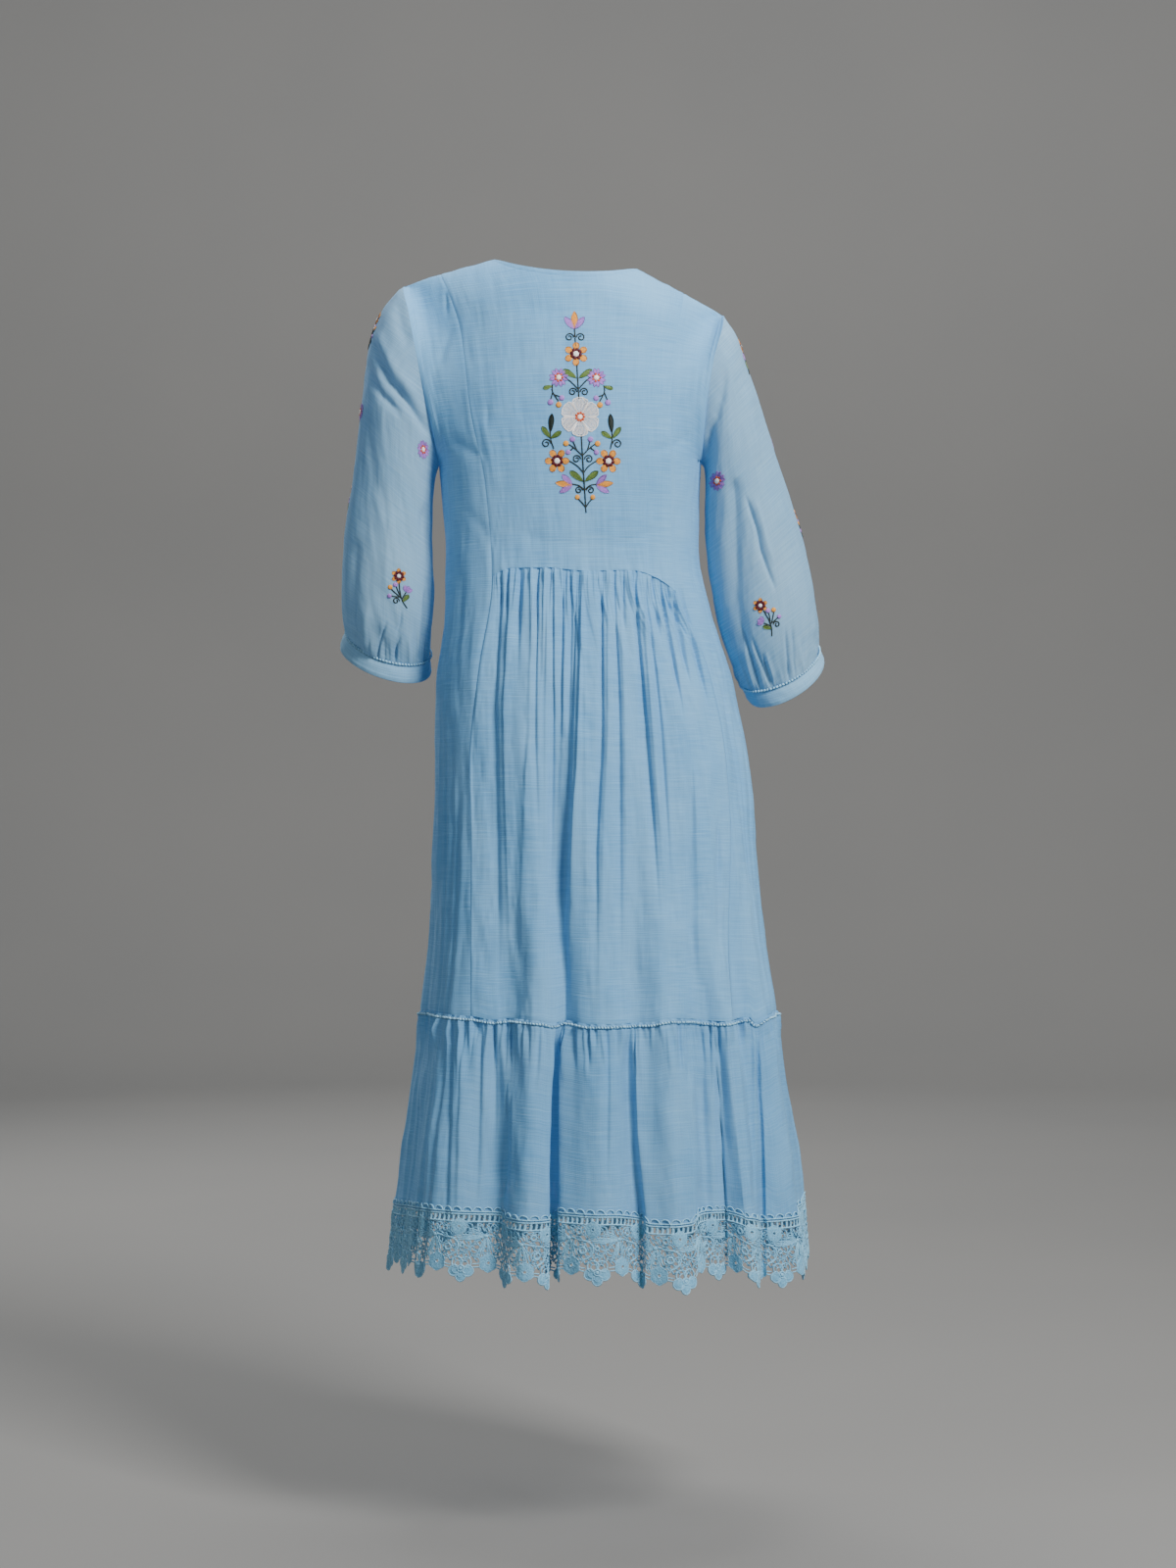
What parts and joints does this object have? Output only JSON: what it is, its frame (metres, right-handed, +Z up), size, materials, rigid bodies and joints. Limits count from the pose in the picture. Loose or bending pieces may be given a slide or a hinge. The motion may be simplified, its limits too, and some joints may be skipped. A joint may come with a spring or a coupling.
{
  "type": "a-line dress",
  "caption": "Midi A-line dress with a scoop neck, three-quarter sleeves gathered into cuffs, a gathered back skirt, a gathered lower tier and a scalloped lace border.",
  "frame": {"origin": "midway between the two points where the shoulder seams meet the neck edge, where the wearer's shoulders carry the dress", "axes": "+Z up, +X to the wearer's right, +Y the way the wearer faces, so the back of the dress looks along -Y"},
  "size_m": [0.5898, 0.4106, 1.2156],
  "materials": {
    "cloth": "matt crinkled cotton gauze",
    "braid": "matt picot braid",
    "lace": "matt cotton lace"
  },
  "bodies": {
    "root": {"back_bodice": "cloth", "back_skirt": "cloth", "front": "cloth", "side_back_left": "cloth", "side_back_right": "cloth", "sleeve_left": "cloth", "sleeve_right": "cloth", "cuff_left": "cloth", "cuff_right": "cloth", "cuff_braid_left": "braid", "cuff_braid_right": "braid", "tier_back": "cloth", "tier_front": "cloth", "tier_braid": "braid", "lace_border": "lace"}
  },
  "joints": []
}
